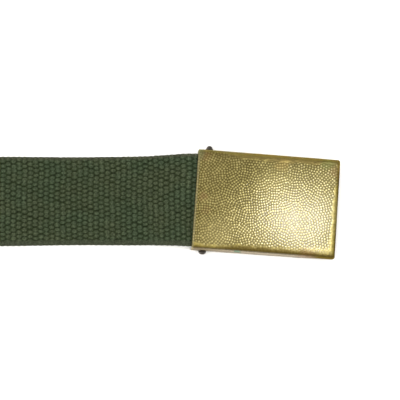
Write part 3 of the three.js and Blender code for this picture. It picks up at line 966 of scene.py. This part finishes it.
def join_rims(shell, outer, inner):
    """The sheet's edge: a row of points stands out midway between the two skins' rims."""
    pushes = [(-RIM, 0, 0), (0, 0, -RIM), (0, 0, -RIM), (0, 0, -RIM)]
    ends = {}
    for number, (out_row, in_row, push) in enumerate(zip(outer, inner, pushes)):
        out_points = np.array([shell.points[i] for i in out_row])
        in_points = np.array([shell.points[i] for i in in_row])
        out_at, in_at = chain_places(out_points), chain_places(in_points)
        matched = np.stack([np.interp(out_at, in_at, in_points[:, k]) for k in range(3)], axis=1)
        middle = (out_points + matched) / 2 + push
        for spot in (0, -1):
            if number == 0 or (number, spot) in ((1, 0), (3, -1)):
                middle[spot] = (out_points[spot] + matched[spot]) / 2 + (-RIM, 0, -RIM)
        inside = shell.add(middle[1:-1])
        first, last = int(out_row[0]), int(out_row[-1])
        for key, spot in ((first, 0), (last, -1)):
            if key not in ends:
                ends[key] = int(shell.add(middle[spot])[0])
        row = np.concatenate([[ends[first]], inside, [ends[last]]])
        shell.strip(out_row, row)
        shell.zip_rows(row, out_at, in_row, in_at)


def pebble_field():
    """The pebbles' height over any place on the face, with its smooth borders."""
    points, sizes, heights = settled_pebbles()
    tree = kdtree.KDTree(len(points))
    for index, point in enumerate(points):
        tree.insert((point[0], point[1], 0), index)
    tree.balance()
    rng = np.random.default_rng(SEED)
    uneven = ripple(rng, *RIPPLES["border"])

    def shares(u, v):
        found = np.array([tree.find((a, b, 0))[1:] for a, b in zip(u.ravel(), v.ravel())])
        index = found[:, 0].astype(int)
        off = np.clip(found[:, 1] / (PEBBLE_RADIUS * sizes[index]), 0, 1)
        dome = (1 - off * off) ** PEBBLE_ROUNDNESS * heights[index]
        return dome.reshape(u.shape)

    def border(side, at, inwards):
        row = BORDERS[side]
        clear, full = (np.interp(at, row["at"], row[key]) for key in ("clear", "full"))
        return fraction(inwards + BORDER_WAVE * uneven(at), clear, full)

    def strength(u, v):
        half = BOX_WIDTH / 2
        return border("lip", v, BOX_LENGTH - u) * border("lower", u, half + v) * border("upper", u, half - v)

    return shares, strength


def pebbled_brass(nodes, place, smooth, scuff):
    """The face's colour: brown hollows, lighter in a painted glow, bright pebbles and scuffed smooth
    borders.
    """
    cloud = nodes.ease(nodes.noise(place, 0.06, 3.0), 0.35, 0.65)
    raised = nodes.mix(cloud, *BRASS["raised"])
    hollow = nodes.mix(cloud, *BRASS["hollow"])
    # Painted reflection of the lamp's glow in the hollows
    painted_glow = nodes.spot(place, PAINTED_GLOW["at"], PAINTED_GLOW["radius"], PAINTED_GLOW["soft"])
    hollow = nodes.mix(nodes.times(painted_glow, PAINTED_GLOW["share"]), hollow, BRASS["hollow_painted_glow"])
    colour = nodes.mix(nodes.ease(nodes.stored("pebble"), 0.0, PLAIN_TONE), hollow, raised)
    border = nodes.mix(nodes.ease(scuff, 0.36, 0.62), *BRASS["border"])
    return nodes.mix(nodes.times(smooth, 0.9), colour, border)


def browned(nodes, colour, axes, bend, wobble):
    """Painted shade: brown bands on the two long sides, dark bends. Returns the colour and the lower band's
    share.
    """
    ragged = nodes.plus(axes["Y"], nodes.times(wobble, 0.6))
    band = nodes.times(nodes.ease(ragged, *UPPER_BAND), nodes.ease(axes["X"], *UPPER_BAND_LEFT))
    outside = nodes.ease(axes["Y"], *UPPER_BAND_OUTSIDE)
    colour = nodes.mix(band, colour, nodes.mix(outside, BRASS["top_band_shade"], BRASS["top_band_shade_outside"]))
    top_bend_shade = nodes.mix(
        nodes.ease(axes["X"], *UPPER_BEND_LEFT), BRASS["top_bend_shade_left"], BRASS["top_bend_shade"]
    )
    brown = nodes.mix(nodes.ease(axes["Y"], *UPPER_BEND), BRASS["bend"], top_bend_shade)
    colour = nodes.mix(nodes.ease(bend, 0.05, 0.25), colour, brown)
    lowered = nodes.plus(nodes.ease(axes["X"], *LOWER_BAND_LEFT), nodes.ease(axes["X"], *LOWER_BAND_LIP))
    lowered = nodes.plus(lowered, nodes.times(wobble, 0.3))
    bottom_band_shade = nodes.ease(nodes.plus(axes["Y"], lowered), *LOWER_BAND)
    return nodes.mix(bottom_band_shade, colour, BRASS["bottom_band_shade"]), bottom_band_shade


def brass_material():
    """Stamped brass gone brown in its hollows. The stored place is in the buckle's own axes."""
    nodes = Nodes(bpy.data.materials.new("old_brass"))
    place = nodes.stored("place", "Vector")
    bend = nodes.stored("bend")
    smooth = nodes.stored("smooth")
    axes = nodes.axes(place)
    scuff = nodes.noise(place, 0.9, 2.0, 0.6)
    wobble = nodes.ease(nodes.noise(place, 0.35, 3.0, 0.6), 0.2, 0.8, -1.6, 1.6)
    colour = pebbled_brass(nodes, place, smooth, scuff)
    colour, bottom_band_shade = browned(nodes, colour, axes, bend, wobble)
    flange = nodes.times(nodes.ease(axes["Y"], *FLANGE), nodes.ease(axes["X"], *FLANGE_LIP))
    strip = nodes.mix(nodes.ease(axes["X"], *FLANGE_LEFT), BRASS["flange_left"], BRASS["flange"])
    colour = nodes.mix(flange, colour, strip)
    # The sheet's rounded edges and the open end: pale as worn metal and as a painted highlight.
    rim = nodes.times(nodes.stored("rim"), 0.5)
    worn = nodes.math("MAXIMUM", rim, nodes.ease(axes["X"], *OPEN_END))
    colour = nodes.mix(worn, colour, BRASS["worn_edge_and_highlight"])
    for at, radius, soft, share, patch_colour in STAINS_AND_PALE_PATCHES:
        spot = nodes.spot(place, at, radius, soft, wobble)
        colour = nodes.mix(nodes.times(spot, share), colour, patch_colour)
    shade = nodes.ease(nodes.noise(place, 1.3, 3.0, 0.6), 0.3, 0.7, 0.86, 1.1)
    lacquered = nodes.math("SUBTRACT", 1.0, bottom_band_shade)
    roughness = nodes.ease(nodes.stored("pebble"), 0.0, 0.9, 0.36, 0.28)
    return nodes.finish(
        Base_Color=nodes.shaded(colour, shade),
        Metallic=1.0,
        Roughness=nodes.plus(roughness, nodes.times(smooth, 0.12)),
        Specular_Tint=(0.45, 0.39, 0.30, 1.0),
        Coat_Weight=nodes.times(nodes.ease(bend, 0.02, 0.15, 0.7, 0.0), lacquered),
        Coat_Roughness=0.14,
        Normal=nodes.bump(nodes.times(scuff, smooth), 0.16),
    )


def make_buckle(matrix):
    shares, strength = pebble_field()

    def relief(u, v):
        return PEBBLE_HEIGHT * shares(u, v) * strength(u, v)

    shell = Shell()
    outer, outer_holes = skin(shell, False, FINE_STEP, relief)
    outer_count = len(shell.points)
    inner, inner_holes = skin(shell, True, COARSE_STEP)
    skins_count = len(shell.points)
    join_rims(shell, outer, inner)
    rims_count = len(shell.points)
    for sign in (-1, 1):
        for out_hole, in_hole in zip(outer_holes[sign], inner_holes[sign]):
            first, second = out_hole["ring"], in_hole["ring"]
            shell.strip(first + first[:1], second + second[:1])
    add_anvil(shell)
    made = object_from("buckle_shell", shell.points, [tuple(map(int, f)) for f in shell.faces], matrix)
    face_outwards(made)
    made.data.set_sharp_from_angle(angle=math.radians(SHARP_ANGLE))
    points = np.array(shell.points)
    order = np.arange(len(points))
    rim = ((order >= skins_count) & (order < rims_count)).astype(float)
    pebble = np.full(len(points), PLAIN_TONE)
    face = (order < outer_count) & (points[:, 2] > FLANGE_DEPTH - SHOULDER_DROP)
    u, v = points[face, 0], points[face, 1]
    strong = strength(u, v)
    pebble[face] = np.clip(shares(u, v), 0, 1) * strong + PLAIN_TONE * (1 - strong)
    smooth = np.zeros(len(points))
    smooth[face] = 1 - strong
    bend = np.clip((FLANGE_DEPTH - points[:, 2]) / SHOULDER_DROP, 0, 1)
    stored = {"rim": rim, "smooth": smooth, "pebble": pebble, "bend": bend, "place": points}
    for name, values in stored.items():
        store(made, name, values)
    made.data.materials.append(brass_material())
    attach(made, "belt")
    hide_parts("buckle_box")


def add_anvil(shell):
    """The cross strip soldered inside the flanges, which the jaw presses the strap against."""
    half = BOX_WIDTH / 2 - SHEET / 2
    low = FLANGE_DEPTH - ANVIL["depth"] - SHEET
    start = ANVIL["middle"] - ANVIL["length"] / 2
    ring = [(0, 0), (ANVIL["length"], 0), (ANVIL["length"], SHEET), (0, SHEET)]
    rows = [shell.add([(start + a, v, low + b) for a, b in ring]) for v in (-half, half)]
    shell.strip([*rows[0], rows[0][0]], [*rows[1], rows[1][0]])
    shell.faces.append(tuple(rows[0]))
    shell.faces.append(tuple(rows[1][::-1]))


def metal_material(name, row):
    """A worn metal that clouds mix from a darker and a lighter colour."""
    nodes = Nodes(bpy.data.materials.new(f"plain_{name}"))
    place = nodes.place()
    cloud = nodes.ease(nodes.noise(place, 260.0, 4.0, 0.6), 0.3, 0.7)
    grain = nodes.noise(place, 2200.0, 3.0, 0.6)
    dullest = row["roughness"] + ROUGHNESS_SPREAD
    return nodes.finish(
        Base_Color=nodes.mix(cloud, row["low"], row["high"]),
        Metallic=1.0,
        Roughness=nodes.ease(cloud, 0.0, 1.0, row["roughness"] - ROUGHNESS_SPREAD, dullest),
        Normal=nodes.bump(grain, 0.03, 0.4),
    )


def make_fitting(row, material):
    """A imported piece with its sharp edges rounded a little, in place of the plain one."""
    mesh = frame["nodes"][row["node"]].data.copy()
    made = add_object(row["name"], mesh)
    work = bmesh.new()
    work.from_mesh(mesh)
    bmesh.ops.remove_doubles(work, verts=work.verts, dist=WELD * MM)
    flat = math.radians(FLAT_ANGLE)
    bmesh.ops.dissolve_limit(work, angle_limit=flat, verts=work.verts, edges=work.edges)
    work.to_mesh(mesh)
    work.free()
    mesh.shade_smooth()
    bevel = made.modifiers.new("edges", "BEVEL")
    bevel.width = row["edge"] * MM
    bevel.segments = EDGE_STEPS
    bevel.limit_method = "ANGLE"
    bevel.angle_limit = math.radians(EDGE_ANGLE)
    made.modifiers.new("normals", "WEIGHTED_NORMAL")
    mesh.materials.clear()
    mesh.materials.append(material)
    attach(made, row["body"])
    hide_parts(row["node"])


def make_fittings():
    metals = {name: metal_material(name, row) for name, row in METALS.items()}
    for row in FITTINGS:
        make_fitting(row, metals[row["metal"]])


make_camera()
make_world()
make_floor()
make_lights()
make_strap()
make_buckle(buckle_matrix())
make_fittings()
